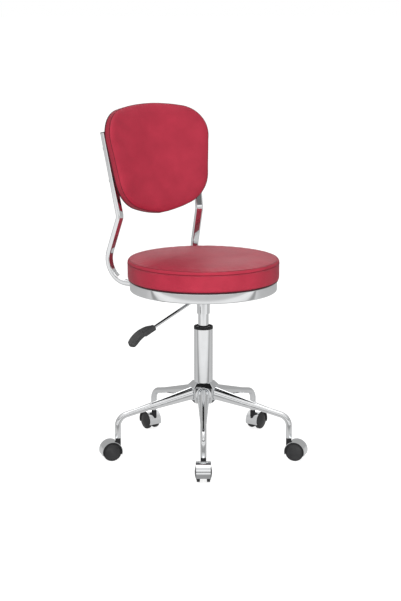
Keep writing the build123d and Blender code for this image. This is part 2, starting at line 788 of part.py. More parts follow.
def caster_wheel(angle, side):
    """One domed twin wheel, revolved about the axle on the given side of the fork."""
    plane = radial_plane(angle)
    centre = plane.from_local_coords((*wheel_centre, 0))
    axle_line = plane.z_dir * side
    half_section = Plane(origin=centre, x_dir=axle_line, z_dir=axle_line.cross(Vector(0, 0, 1)))
    bore = axle_diameter / 2 + running_gap
    blind_end = wheel_tread_edge - axle_end_wall
    recess_floor = wheel_inner_face + wheel_recess_depth
    tread_middle = wheel_outer_round * (1 - sqrt(0.5))
    dome_edge = wheel_disc_radius - wheel_groove / 2
    dome_rise = wheel_dome_top - wheel_tread_edge
    dome_sphere = (dome_edge**2 + dome_rise**2) / (2 * dome_rise)
    dome_middle = (
        wheel_dome_top - dome_sphere + sqrt(dome_sphere**2 - dome_edge**2 / 4),
        dome_edge / 2,
    )
    with BuildPart() as made:
        with BuildSketch(half_section):
            with BuildLine():
                Polyline(
                    (blind_end, 0),
                    (blind_end, bore),
                    (wheel_inner_face, bore),
                    (wheel_inner_face, wheel_boss_radius),
                    (recess_floor, wheel_boss_radius + 1),
                    (recess_floor, wheel_recess_outer - 1.5),
                    (wheel_inner_face, wheel_recess_outer),
                    (wheel_inner_face, wheel_radius - wheel_inner_chamfer),
                    (wheel_inner_face + wheel_inner_chamfer, wheel_radius),
                    (wheel_tread_edge - wheel_outer_round, wheel_radius),
                )
                ThreePointArc(
                    (wheel_tread_edge - wheel_outer_round, wheel_radius),
                    (wheel_tread_edge - tread_middle, wheel_radius - tread_middle),
                    (wheel_tread_edge, wheel_radius - wheel_outer_round),
                )
                Polyline(
                    (wheel_tread_edge, wheel_radius - wheel_outer_round),
                    (wheel_tread_edge, wheel_disc_radius + wheel_groove),
                    (wheel_tread_edge - wheel_groove, wheel_disc_radius + wheel_groove / 2),
                    (wheel_tread_edge - wheel_groove, wheel_disc_radius),
                    (wheel_tread_edge, dome_edge),
                )
                ThreePointArc((wheel_tread_edge, dome_edge), dome_middle, (wheel_dome_top, 0))
                Line((wheel_dome_top, 0), (blind_end, 0))
            make_face()
        revolve(axis=Axis(origin=centre, direction=axle_line))
    return made


for number, angle in enumerate(leg_angles, 1):
    side_plane = radial_plane(angle)
    boss_height = boss_top - wheel_radius

    with BuildPart() as caster_hood:
        with BuildSketch(side_plane):
            with BuildLine():
                arch(hood_radius, hood_radius - hood_thickness, hood_low_angle)
            make_face()
        extrude(amount=hood_half_width, both=True)
        with BuildSketch(stem_section(wheel_radius + boss_root, angle)):
            Circle(boss_diameter / 2)
        extrude(amount=boss_height, mode=Mode.SUBTRACT)
    save(caster_hood, f"caster_{number}_hood")

    with BuildPart() as caster_fork:
        with BuildSketch(side_plane):
            with BuildLine():
                arch(hood_radius - hood_thickness, hood_radius - hood_thickness - liner_thickness,
                     liner_low_angle)
            make_face()
        extrude(amount=hood_half_width, both=True)
        for side in (-1, 1):
            with BuildSketch(side_plane.offset(side * rim_inner_face)):
                with BuildLine():
                    arch(hood_radius - hood_thickness, rim_inner_radius, liner_low_angle)
                make_face()
            extrude(amount=side * (rim_outer_face - rim_inner_face))
        with BuildSketch(side_plane):
            with Locations(wheel_centre):
                Circle(hood_radius - hood_thickness)
            with Locations((wheel_centre_radius, wheel_radius / 4)):
                Rectangle(3 * wheel_radius, wheel_radius, mode=Mode.SUBTRACT)
        extrude(amount=wheel_inner_face - fork_side_gap, both=True)
        with BuildSketch(stem_section(wheel_radius + boss_root, angle)):
            Circle(boss_diameter / 2)
        extrude(amount=boss_height - boss_root)
        with BuildSketch(stem_section(stem_bottom, angle)):
            Circle(stem_diameter / 2)
        extrude(amount=boss_height, mode=Mode.SUBTRACT)
        with BuildSketch(side_plane.offset(-hood_half_width)):
            with Locations(wheel_centre):
                Circle(axle_diameter / 2)
        extrude(amount=2 * hood_half_width, mode=Mode.SUBTRACT)
    save(caster_fork, f"caster_{number}_fork")

    with BuildPart() as caster_pins:
        with BuildSketch(stem_section(stem_bottom, angle)):
            Circle(stem_diameter / 2)
        extrude(amount=stem_top - stem_bottom)
        chamfer(caster_pins.edges().group_by(Axis.Z)[-1], stem_chamfer)
        axle_half = wheel_tread_edge - axle_end_wall - axle_play
        with BuildSketch(side_plane.offset(-axle_half)):
            with Locations(wheel_centre):
                Circle(axle_diameter / 2)
        extrude(amount=2 * axle_half)
    save(caster_pins, f"caster_{number}_stem_and_axle")

    for side, word in ((1, "left"), (-1, "right")):
        save(caster_wheel(angle, side), f"caster_{number}_wheel_{word}")
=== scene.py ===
import json
from math import atan2, cos, exp, pi, radians, sin, sqrt, tan, tanh

import bmesh
import bpy
from mathutils import Matrix, Vector, noise
from mathutils.kdtree import KDTree


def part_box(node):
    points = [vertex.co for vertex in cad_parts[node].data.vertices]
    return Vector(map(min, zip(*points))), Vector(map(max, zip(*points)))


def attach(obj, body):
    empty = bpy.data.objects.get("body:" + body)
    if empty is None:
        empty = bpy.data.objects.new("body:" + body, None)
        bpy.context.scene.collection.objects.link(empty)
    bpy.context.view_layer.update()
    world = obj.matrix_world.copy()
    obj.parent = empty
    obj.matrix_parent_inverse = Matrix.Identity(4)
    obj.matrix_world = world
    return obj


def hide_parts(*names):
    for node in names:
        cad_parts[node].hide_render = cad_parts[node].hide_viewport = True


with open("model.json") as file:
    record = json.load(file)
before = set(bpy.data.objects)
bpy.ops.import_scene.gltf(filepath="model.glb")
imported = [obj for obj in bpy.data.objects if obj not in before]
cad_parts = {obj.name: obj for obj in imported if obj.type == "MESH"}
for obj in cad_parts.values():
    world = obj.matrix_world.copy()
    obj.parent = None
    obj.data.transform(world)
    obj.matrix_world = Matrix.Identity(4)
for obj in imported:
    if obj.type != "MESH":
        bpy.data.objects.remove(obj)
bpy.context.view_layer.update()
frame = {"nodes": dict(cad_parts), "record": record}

# Looks of the rolling stylist stool, in metres, in the CAD's own frame: +Z up, the sitter faces -Y.
scene = bpy.context.scene
scene.view_settings.view_transform = "Standard"
mm = 0.001

# Where the viewer stands, as seen from above
view_turn = radians(39.0)
towards_viewer = Vector((-sin(view_turn), -cos(view_turn), 0.0))
to_the_right = Vector((cos(view_turn), -sin(view_turn), 0.0))
upward = Vector((0, 0, 1))

# Colours, linear
crimson = (0.40, 0.022, 0.048)
crimson_dark = (0.32, 0.015, 0.036)
# Very dark red of the piping and of the cords in the seams and gaps: partly the piping's own colour, partly
# painted shade
piping_shade_red = (0.055, 0.004, 0.010)
thread_red = (0.20, 0.010, 0.026)
chrome_colour = (0.88, 0.89, 0.90)


# ---------------------------------------------------------------- camera
def make_camera():
    distance, height, pitch = 3.7183, 1.2051, 0.2089
    sensor, lens = 36.0, 85.897
    shift_right, shift_up = -0.00483, -0.00150
    camera = bpy.data.objects.new("camera", bpy.data.cameras.new("camera"))
    scene.collection.objects.link(camera)
    camera.location = towards_viewer * distance + upward * height
    camera.rotation_euler = (pi / 2 - pitch, 0, -view_turn)
    camera.data.sensor_width = sensor
    camera.data.lens = lens
    camera.data.shift_x = shift_right
    camera.data.shift_y = shift_up
    scene.camera = camera


# ---------------------------------------------------------------- node helpers
class Nodes:
    """A short way to write node trees: call it to add a node, link sockets as it goes."""

    def __init__(self, tree):
        self.tree = tree
        tree.nodes.clear()

    def __call__(self, kind, props=None, **inputs):
        node = self.tree.nodes.new(kind)
        for key, value in (props or {}).items():
            setattr(node, key, value)
        for key, value in inputs.items():
            self.set(node, key, value)
        return node

    def set(self, node, key, value):
        by_number = key[0] == "_" and key[1:].isdigit()
        socket = node.inputs[int(key[1:]) if by_number else key.replace("_", " ")]
        if isinstance(value, bpy.types.NodeSocket):
            self.tree.links.new(value, socket)
        elif isinstance(value, tuple) and socket.type == "RGBA":
            socket.default_value = (*value, 1.0)
        else:
            socket.default_value = value

    def maths(self, operation, a, b=0.0):
        return self("ShaderNodeMath", {"operation": operation}, _0=a, _1=b).outputs[0]

    def ramp(self, factor, *stops):
        """Grey or coloured ramp: stops are (position, value or colour)."""
        node = self("ShaderNodeValToRGB", _0=factor)
        for k, (place, value) in enumerate(stops):
            stop = node.color_ramp.elements[k] if k < 2 else node.color_ramp.elements.new(place)
            stop.position = place
            stop.color = (*value, 1.0) if isinstance(value, tuple) else (value, value, value, 1.0)
        return node.outputs[0]

    def mix(self, factor, a, b):
        node = self("ShaderNodeMix", {"data_type": "RGBA"})
        self.set(node, "_0", factor)
        self.set(node, "_6", a)
        self.set(node, "_7", b)
        return node.outputs[2]

    def noise(self, place, scale, detail=3.0, roughness=0.5):
        node = self("ShaderNodeTexNoise", _0=place, Scale=scale, Detail=detail, Roughness=roughness)
        return node.outputs[0]

    def dot(self, way, fixed):
        node = self("ShaderNodeVectorMath", {"operation": "DOT_PRODUCT"}, _0=way, _1=tuple(fixed))
        return node.outputs["Value"]

    def bump(self, height, distance, strength=1.0, normal=None):
        node = self("ShaderNodeBump", Strength=strength, Distance=distance, Height=height)
        if normal is not None:
            self.set(node, "Normal", normal)
        return node.outputs[0]


def material(name):
    """A new node material, with its helper and the object's own coordinates."""
    made = bpy.data.materials.new(name)
    made.use_nodes = True
    n = Nodes(made.node_tree)
    return made, n, n("ShaderNodeTexCoord").outputs["Object"]


def close(made, n, **sockets):
    """Ends a material with a Principled shader that has the given sockets."""
    shader = n("ShaderNodeBsdfPrincipled")
    for key, value in sockets.items():
        n.set(shader, key, value)
    n("ShaderNodeOutputMaterial", Surface=shader.outputs[0])
    return made


# ---------------------------------------------------------------- materials
def shaded(colour, share):
    return tuple(c * share for c in colour)


def metal(name, colour, smooth, rough, haze=0.0, wave=0.02 * mm):
    """Plated metal: smudged gloss, faint ripples left by polishing, and fine pits."""
    made, n, place = material(name)
    smudge = n.noise(place, 28.0, 5.0, 0.62)
    ripple = n.noise(place, 90.0, 2.0)
    pits = n.noise(place, 2600.0, 1.0)
    gloss = n.ramp(smudge, (0.30, smooth), (0.62, (smooth + rough) / 2), (0.80, rough))
    tint = n.mix(n.ramp(smudge, (0.35, 0.0), (0.85, 1.0)), colour, shaded(colour, 0.93 - haze))
    soft = n.bump(ripple, wave)
    return close(made, n, Base_Color=tint, Metallic=1.0, Roughness=gloss,
                 Normal=n.bump(pits, 0.003 * mm, 0.5, soft))


def plastic(name, dark, light, smooth, rough, grain, grain_depth, specular=0.22):
    """Moulded plastic: fine spark-eroded grain, uneven gloss, a little dust in the colour."""
    made, n, place = material(name)
    cloud = n.noise(place, 35.0, 4.0, 0.6)
    tooth = n.noise(place, grain, 2.0, 0.6)
    flow = n.noise(place, 140.0, 2.0)
    return close(made, n, Base_Color=n.mix(n.ramp(cloud, (0.35, 0.0), (0.75, 1.0)), dark, light),
                 Roughness=n.ramp(cloud, (0.3, smooth), (0.75, rough)), Specular_IOR_Level=specular,
                 Normal=n.bump(tooth, grain_depth, 0.8, n.bump(flow, 0.03 * mm)))


def leather(name, bright, deep, cell=1.15 * mm, depth=0.10 * mm, smooth=0.46, rough=0.60):
    """Synthetic leather: pebbled grain with creases between, painted shade darkening the creases, fine
    pores, mottled colour, soft sheen.
    """
    made, n, place = material(name)
    warp = n.noise(place, 300.0, 2.0)
    moved = n("ShaderNodeVectorMath", {"operation": "MULTIPLY_ADD"}, _0=warp, _1=(0.0012,) * 3, _2=place)
    pebbles = n("ShaderNodeTexVoronoi", {"feature": "DISTANCE_TO_EDGE"}, _0=moved.outputs[0],
                Scale=1 / cell)
    crease = n.ramp(pebbles.outputs["Distance"], (0.0, 0.0), (0.22, 1.0))
    pores = n.noise(place, 4200.0, 2.0, 0.6)
    mottle = n.noise(place, 17.0, 4.0, 0.55)
    worn = n.noise(place, 5.5, 3.0, 0.5)
    tone = n.mix(n.ramp(mottle, (0.32, 0.0), (0.72, 1.0)), deep, bright)
    # Painted shade: the colour darkens in the grain's creases, where shade falls
    crease_shade = n.maths("MULTIPLY", n.maths("SUBTRACT", 1.0, crease), 0.35)
    tone = n.mix(crease_shade, tone, shaded(deep, 0.5))
    gloss = n.ramp(worn, (0.35, smooth), (0.70, rough))
    fold = n.bump(n.noise(place, 60.0, 3.0), 0.10 * mm)
    return close(made, n, Base_Color=tone, Roughness=gloss, Specular_IOR_Level=0.30, Coat_Weight=0.05,
                 Coat_Roughness=0.35,
                 Normal=n.bump(pores, 0.02 * mm, 0.6, n.bump(crease, depth, 1.0, fold)))


def thread(name, colour):
    """Spun polyester thread: a tight twist and a silky edge."""
    made, n, place = material(name)
    twist = n("ShaderNodeTexWave", {"bands_direction": "DIAGONAL"}, _0=place, Scale=900.0, Distortion=2.0)
    shade = n.mix(twist.outputs["Fac"], shaded(colour, 0.6), colour)
    return close(made, n, Base_Color=shade, Roughness=0.55, Sheen_Weight=0.3,
                 Normal=n.bump(twist.outputs["Fac"], 0.08 * mm))


def felt(name, colour):
    """Non-woven dust cover: matted short fibres."""
    made, n, place = material(name)
    fibres = n.noise(place, 1400.0, 5.0, 0.75)
    blots = n.noise(place, 60.0, 4.0, 0.6)
    shade = n.mix(n.ramp(fibres, (0.35, 0.0), (0.7, 1.0)), shaded(colour, 0.5), colour)
    shade = n.mix(n.ramp(blots, (0.3, 0.0), (0.8, 0.4)), shade, shaded(colour, 1.6))
    return close(made, n, Base_Color=shade, Roughness=0.92, Normal=n.bump(fibres, 0.15 * mm))


def plywood(name):
    """Dark-stained plywood: plies seen on the edge, long grain on the faces."""
    made, n, place = material(name)
    stretched = n("ShaderNodeMapping", _0=place, Scale=(9.0, 90.0, 9.0)).outputs[0]
    grain = n.noise(stretched, 9.0, 6.0, 0.65)
    plies = n("ShaderNodeTexWave", {"bands_direction": "Z"}, _0=place, Scale=150.0, Distortion=0.4)
    wood = n.mix(n.ramp(grain, (0.35, 0.0), (0.7, 1.0)), (0.030, 0.020, 0.014), (0.085, 0.058, 0.038))
    glue = n.mix(n.maths("MULTIPLY", plies.outputs["Fac"], 0.3), wood, (0.02, 0.013, 0.01))
    return close(made, n, Base_Color=glue, Roughness=0.6, Normal=n.bump(grain, 0.1 * mm))


def make_materials():
    return {
        "chrome": metal("chrome_plate", chrome_colour, 0.015, 0.055),
        "zinc_steel": metal("zinc_plate", (0.52, 0.53, 0.55), 0.28, 0.42, 0.1, 0.05 * mm),
        "black_plastic": plastic("black_plastic", (0.010, 0.010, 0.011), (0.020, 0.020, 0.021),
                                 0.34, 0.50, 1700.0, 0.05 * mm),
        "grip_plastic": plastic("grip_plastic", (0.036, 0.036, 0.037), (0.056, 0.056, 0.056),
                                0.42, 0.56, 1500.0, 0.08 * mm),
        "grey_plastic": plastic("grey_acetal", (0.50, 0.50, 0.50), (0.60, 0.60, 0.59),
                                0.30, 0.42, 900.0, 0.02 * mm),
        "wheel_plastic": plastic("wheel_nylon", (0.022, 0.022, 0.023), (0.036, 0.036, 0.037),
                                 0.26, 0.40, 1300.0, 0.03 * mm),
        "rubber": plastic("matt_rubber", (0.012, 0.012, 0.012), (0.024, 0.024, 0.023),
                          0.70, 0.85, 1100.0, 0.08 * mm, 0.3),
        "leather": leather("crimson_leather", crimson, crimson_dark),
        # Dark leather for the piping and for the cords in the seams and under the seat's edge; its darkness
        # is partly painted shade
        "piping": leather("piping_and_shade_leather", piping_shade_red, shaded(piping_shade_red, 0.6), 0.8 * mm, 0.05 * mm),
        "thread": thread("crimson_thread", thread_red),
        "dust_cover": felt("dust_cover", (0.012, 0.012, 0.012)),
        "plywood": plywood("stained_plywood"),
    }


# ---------------------------------------------------------------- light and stage
def circle(count, radius=1.0, height=0.0):
    """Points round the stool's axis."""
    turns = [2 * pi * k / count for k in range(count)]
    return [Vector((radius * cos(a), radius * sin(a), height)) for a in turns]


def make_world():
    """White studio: a bright front, greyer sides and back, one thin dark gap in front."""
    world = bpy.data.worlds.new("studio")
    scene.world = world
    world.use_nodes = True
    n = Nodes(world.node_tree)
    way = n("ShaderNodeTexCoord").outputs["Generated"]
    ahead = n.dot(way, towards_viewer)
    height = n("ShaderNodeSeparateXYZ", _0=way).outputs[2]
    around = n.ramp(n.maths("MULTIPLY_ADD", ahead, 0.5),
                    (0.0, 0.40), (0.45, 0.46), (0.68, 0.60), (0.795, 0.62), (0.812, 0.16),
                    (0.832, 0.24), (0.85, 0.95), (0.95, 1.0), (0.985, 0.72), (1.0, 0.95))
    shown = n.ramp(n.maths("ABSOLUTE", height), (0.55, 0.0), (0.95, 1.0))
    light = n.mix(shown, around, (0.95, 0.95, 0.95))
    low = n.maths("GREATER_THAN", height, 0.25)
    high = n.maths("LESS_THAN", height, 0.39)
    front = n.maths("GREATER_THAN", ahead, 0.62)
    gap = n.maths("MULTIPLY", n.maths("MULTIPLY", low, high), front)
    light = n.mix(n.maths("MULTIPLY", gap, 0.85), light, (0.02, 0.02, 0.02))
    seen = n("ShaderNodeLightPath").outputs["Is Camera Ray"]
    shade = n("ShaderNodeBackground", Color=n.mix(seen, light, (1.0, 1.0, 1.0)), Strength=1.0)
    n("ShaderNodeOutputWorld", Surface=shade.outputs[0])


def make_floor():
    """Pale floor disc. What the metal sees in it is brighter in front of the stool than behind."""
    segments, radius = 96, 80.0
    mesh = bpy.data.meshes.new("floor")
    mesh.from_pydata([tuple(p) for p in circle(segments, radius)], [], [list(range(segments))])
    floor_disc = bpy.data.objects.new("floor", mesh)
    scene.collection.objects.link(floor_disc)
    made, n, place = material("pale_floor")
    ahead = n.dot(place, towards_viewer)
    tone = n.ramp(n.maths("MULTIPLY_ADD", ahead, 0.2),
                  (0.0, 0.46), (0.45, 0.54), (0.53, 0.64), (0.56, 0.34), (0.585, 0.36),
                  (0.63, 0.80), (0.70, 0.92), (0.80, 0.88), (0.90, 0.62), (1.0, 0.58))
    bounce = n("ShaderNodeEmission", Color=tone, Strength=1.0)
    paint = n("ShaderNodeBsdfDiffuse", Color=(0.30, 0.30, 0.30))
    glow = n("ShaderNodeEmission", Color=(1.0, 1.0, 1.0), Strength=0.86)
    shown = n("ShaderNodeAddShader", _0=paint.outputs[0], _1=glow.outputs[0])
    seen = n("ShaderNodeLightPath").outputs["Is Camera Ray"]
    n("ShaderNodeOutputMaterial", Surface=n("ShaderNodeMixShader", _0=seen, _1=bounce.outputs[0],
                                            _2=shown.outputs[0]).outputs[0])
    mesh.materials.append(made)


def area_light(name, place, size, power, mirrored=True):
    """A soft lamp aimed at the stool's middle; mirrored says whether the metal shows it."""
    light = bpy.data.lights.new(name, "AREA")
    light.shape = "RECTANGLE"
    light.size, light.size_y = size
    light.energy = power
    lamp = bpy.data.objects.new(name, light)
    scene.collection.objects.link(lamp)
    lamp.location = place
    lamp.rotation_euler = (upward * 0.5 - Vector(place)).to_track_quat("-Z", "Y").to_euler()
    lamp.visible_glossy = mirrored


def make_lights():
    area_light("key", towards_viewer * 2.4 - to_the_right * 1.5 + upward * 2.2, (1.6, 1.2), 36, False)
    area_light("fill", towards_viewer * 2.2 + to_the_right * 2.0 + upward * 1.2, (1.4, 1.6), 16, False)
    area_light("front", towards_viewer * 2.6 + to_the_right * 0.3 + upward * 0.5, (1.2, 0.8), 40, False)
    area_light("overhead", upward * 2.8, (2.2, 2.2), 9)
    area_light("rim", upward * 2.0 - towards_viewer * 2.4, (1.8, 0.9), 14)


# ---------------------------------------------------------------- mesh helpers
def add_piece(name, mesh, body, finish, smooth=True):
    piece = bpy.data.objects.new(name, mesh)
    scene.collection.objects.link(piece)
    mesh.materials.append(finish)
    if smooth:
        mesh.polygons.foreach_set("use_smooth", [True] * len(mesh.polygons))
    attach(piece, body)
    return piece


def mesh_of(name, points, faces):
    mesh = bpy.data.meshes.new(name)
    mesh.from_pydata([tuple(p) for p in points], [], faces)
    mesh.update()
    return mesh


def bake_modifiers(piece):
    """Applies a piece's modifiers, so its mesh is final."""
    bpy.context.view_layer.update()
    graph = bpy.context.evaluated_depsgraph_get()
    mesh = bpy.data.meshes.new_from_object(piece.evaluated_get(graph))
    piece.modifiers.clear()
    old = piece.data
    piece.data = mesh
    bpy.data.meshes.remove(old)


# ---------------------------------------------------------------- upholstered pads
class Outline:
    """A closed flat outline, counter-clockwise, read by its share of the whole length from 0 to 1."""

    def __init__(self, points):
        self.points = [Vector(p) for p in points]
        lengths = [(self.points[k - len(self.points) + 1] - p).length for k, p in enumerate(self.points)]
        self.total = sum(lengths)
        self.starts = [sum(lengths[:k]) / self.total for k in range(len(lengths))] + [1.0]

    def __call__(self, share):
        share %= 1.0
        low, high = 0, len(self.points)
        while high - low > 1:
            middle = (low + high) // 2
            low, high = (middle, high) if self.starts[middle] <= share else (low, middle)
        part = (share - self.starts[low]) / (self.starts[low + 1] - self.starts[low])
        return self.points[low].lerp(self.points[(low + 1) % len(self.points)], part)

    def outward(self, share):
        along = self(share + 0.002) - self(share - 0.002)
        return Vector((along.y, -along.x)).normalized()


def side_profile(height, top, low, lap, bulge=0.0):
    """A pad's side by distance over it: flat lap, top rounding, wall, low rounding, flat lap.

    Gives a function of the distance, which returns (inset, drop, outward part, upward part),
    and the distances where each stretch ends."""
    wall = height - top - low
    ends = [lap, lap + top * pi / 2]
    ends += [ends[1] + wall, ends[1] + wall + low * pi / 2]
    ends.append(ends[3] + lap)

    def at(s):
        if s < ends[0]:
            return top + lap - s, 0.0, 0.0, 1.0
        if s < ends[1]:
            a = (s - ends[0]) / top
            return top * (1 - sin(a)), top * (1 - cos(a)), sin(a), cos(a)
        if s < ends[2]:
            x = s - ends[1]
            return -bulge * sin(pi * x / wall), top + x, 1.0, 0.0
        if s < ends[3]:
            a = (s - ends[2]) / low
            return low * (1 - cos(a)), height - low + low * sin(a), cos(a), -sin(a)
        return low + s - ends[3], height, 0.0, -1.0

    return at, ends


def square_share(u, v):
    """The share of the way round a square that the ray through (u, v) meets; the +x side's middle is 0."""
    m = max(abs(u), abs(v))
    u, v = u / m, v / m
    if u == 1 and v < 1:
        share = (v + 1) / 8
    elif v == 1 and u > -1:
        share = 0.25 + (1 - u) / 8
    elif u == -1 and v > -1:
        share = 0.5 + (1 - v) / 8
    else:
        share = 0.75 + (u + 1) / 8
    return share - 0.125


def pad_points(outline, profile, stops, grooves, across_count, crown, middle):
    """Points and faces of a closed pad in its own plane, x and y flat and z towards its face.

    stops are the rows' distances over the side. Each groove is (distance, depth, half width)."""
    count = 4 * across_count
    points, faces, row_starts = [], [], []

    def row_point(share, s):
        inset, drop, out, up = profile(s)
        sunk = sum(d * exp(-((s - c) / w) ** 2) for c, d, w in grooves)
        spot = outline(share) - outline.outward(share) * (inset + sunk * out)
        return spot, -drop - sunk * up

    def panel(s, lift, flip):
        """A grid over one face, its rim on the row at distance s; returns the rim's indices in order."""
        first = len(points)
        for b in range(across_count + 1):
            for a in range(across_count + 1):
                u, v = 2 * a / across_count - 1, 2 * b / across_count - 1
                m = max(abs(u), abs(v))
                if m == 0:
                    spot, z = middle, row_point(0, s)[1]
                else:
                    edge, z = row_point(square_share(u, v), s)
                    spot = middle + (edge - middle) * m
                points.append(Vector((spot.x, spot.y, z + lift * (1 - m * m))))
        stride = across_count + 1
        for b in range(across_count):
            for a in range(across_count):
                quad = [first + b * stride + a, first + b * stride + a + 1,
                        first + (b + 1) * stride + a + 1, first + (b + 1) * stride + a]
                faces.append(quad[::-1] if flip else quad)
        rim = [first + b * stride + across_count for b in range(across_count)]
        rim += [first + across_count * stride + across_count - a for a in range(across_count)]
        rim += [first + (across_count - b) * stride for b in range(across_count)]
        rim += [first + a for a in range(across_count)]
        return rim

    above = panel(stops[0], crown, False)
    row_starts.append(above)
    for s in stops[1:-1]:
        row = []
        for k in range(count):
            spot, z = row_point(k / count - 0.125, s)
            row.append(len(points))
            points.append(Vector((spot.x, spot.y, z)))
        row_starts.append(row)
    row_starts.append(panel(stops[-1], 0.0, True))
    for upper, lower in zip(row_starts, row_starts[1:]):
        for k in range(count):
            j = (k + 1) % count
            faces.append([upper[k], lower[k], lower[j], upper[j]])
    return points, faces, row_starts


def row_stops(ends, spacing, grooves):
    """Distances for a pad's rows: even steps, with closer rows at each groove."""
    steps = max(1, round(ends[-1] / spacing))
    even = [ends[-1] * k / steps for k in range(steps + 1)]
    near = [c + w * f for c, d, w in grooves for f in (-2.2, -1.3, -0.6, 0.0, 0.6, 1.3, 2.2)]
    kept = [s for s in even if all(abs(s - x) > spacing * 0.4 for x in near)]
    return sorted(set(kept + near))


def inflate(piece, pinned, pressure, cap):
    """Swells a pad by cloth simulation between its pinned seams, each point moving at most cap."""
    rest = [v.co.copy() for v in piece.data.vertices]
    group = piece.vertex_groups.new(name="seams")
    group.add(pinned, 1.0, "REPLACE")
    cloth = piece.modifiers.new("cloth", "CLOTH")
    settings = cloth.settings
    settings.quality = 6
    settings.mass = 0.35
    settings.tension_stiffness = settings.compression_stiffness = 25
    settings.shear_stiffness = 12
    settings.bending_stiffness = 4
    settings.vertex_group_mass = "seams"
    settings.use_pressure = True
    settings.uniform_pressure_force = pressure
    settings.effector_weights.gravity = 0
    cloth.collision_settings.use_collision = False
    cloth.point_cache.frame_start, cloth.point_cache.frame_end = 1, 20
    for frame_number in range(1, 21):
        scene.frame_set(frame_number)
    graph = bpy.context.evaluated_depsgraph_get()
    swollen = [v.co.copy() for v in piece.evaluated_get(graph).data.vertices]
    piece.modifiers.remove(cloth)
    piece.vertex_groups.clear()
    for v, before, after in zip(piece.data.vertices, rest, swollen):
        move = after - before
        if move.length > 1e-9:
            v.co = before + move.normalized() * cap * tanh(move.length / cap)
    scene.frame_set(1)


def pucker(piece, seam_points, reach, depth, period):
    """Small gathers beside a seam: points within reach move along their normals by smooth noise."""
    tree = KDTree(len(seam_points))
    for k, p in enumerate(seam_points):
        tree.insert(p, k)
    tree.balance()
    for v in piece.data.vertices:
        gap = tree.find(v.co)[2]
        if gap < reach:
            fade = (1 - gap / reach) ** 2
            v.co += v.normal * depth * fade * noise.noise(v.co / period)


def soften(piece, levels=1):
    """One subdivision, applied."""
    step = piece.modifiers.new("smooth", "SUBSURF")
    step.levels = step.render_levels = levels
    bake_modifiers(piece)


def swept_ring(points, normals, radius, sides=10):
    """A closed round cord through the given points: piping, and the dark cords that paint shade into seams
    and gaps.
    """
    made, faces, count = [], [], len(points)
    for k, p in enumerate(points):
        along = (points[(k + 1) % count] - points[k - 1]).normalized()
        out = (normals[k] - along * normals[k].dot(along)).normalized()
        over = along.cross(out)
        made += [p + (out * c.x + over * c.y) * radius for c in circle(sides)]
    for k in range(count):
        m = (k + 1) % count
        for j in range(sides):
            i = (j + 1) % sides
            faces.append([k * sides + j, m * sides + j, m * sides + i, k * sides + i])
    return made, faces


def stitch_row(points, normals, pitch, length, thickness, lift):
    """Separate stitches along a closed line: each is a short arched thread that dips at both ends."""
    count = len(points)
    steps = [(points[(k + 1) % count] - p).length for k, p in enumerate(points)]
    total = sum(steps)
    number = round(total / pitch)
    made, faces, sides, rings = [], [], 6, 6

    def at(distance):
        distance %= total
        k = 0
        while distance > steps[k]:
            distance -= steps[k]
            k += 1
        part = distance / steps[k]
        j = (k + 1) % count
        return points[k].lerp(points[j], part), normals[k].lerp(normals[j], part).normalized()

    for stitch in range(number):
        middle = total * stitch / number
        first = len(made)
        for r in range(rings):
            t = r / (rings - 1) * 2 - 1
            spot, up = at(middle + t * length / 2)
            ahead, _ = at(middle + t * length / 2 + 0.0005)
            along = (ahead - spot).normalized()
            side = along.cross(up)
            centre = spot + up * (lift * (1 - t ** 4) - thickness * 0.6 * t ** 4)
            width = thickness * (1 - 0.45 * t ** 4)
            for j in range(sides):
                a = 2 * pi * j / sides
                made.append(centre + (side * cos(a) + up * sin(a)) * width)
        for r in range(rings - 1):
            for j in range(sides):
                i = (j + 1) % sides
                faces.append([first + r * sides + j, first + r * sides + i,
                              first + (r + 1) * sides + i, first + (r + 1) * sides + j])
        faces.append([first + j for j in range(sides)][::-1])
        faces.append([first + (rings - 1) * sides + j for j in range(sides)])
    return made, faces


def row_line(piece, row):
    """A pad row's points and normals, as they are now."""
    piece.data.update()
    verts = [piece.data.vertices[i] for i in row]
    return [v.co.copy() for v in verts], [v.normal.copy() for v in verts]


def move(mesh, place):
    """Takes a mesh from its flat pattern to its place in the row frame."""
    for v in mesh.vertices:
        v.co = place(v.co)
    mesh.update()


def calm(piece, held, rounds):
    """Evens out a pad's free points, which takes away the creases that a tight cover doesn't have."""
    grid = bmesh.new()
    grid.from_mesh(piece.data)
    free = [vert for vert in grid.verts if vert.index not in held]
    for _ in range(rounds):
        bmesh.ops.smooth_vert(grid, verts=free, factor=0.5,
                              use_axis_x=True, use_axis_y=True, use_axis_z=True)
    grid.to_mesh(piece.data)
    grid.free()


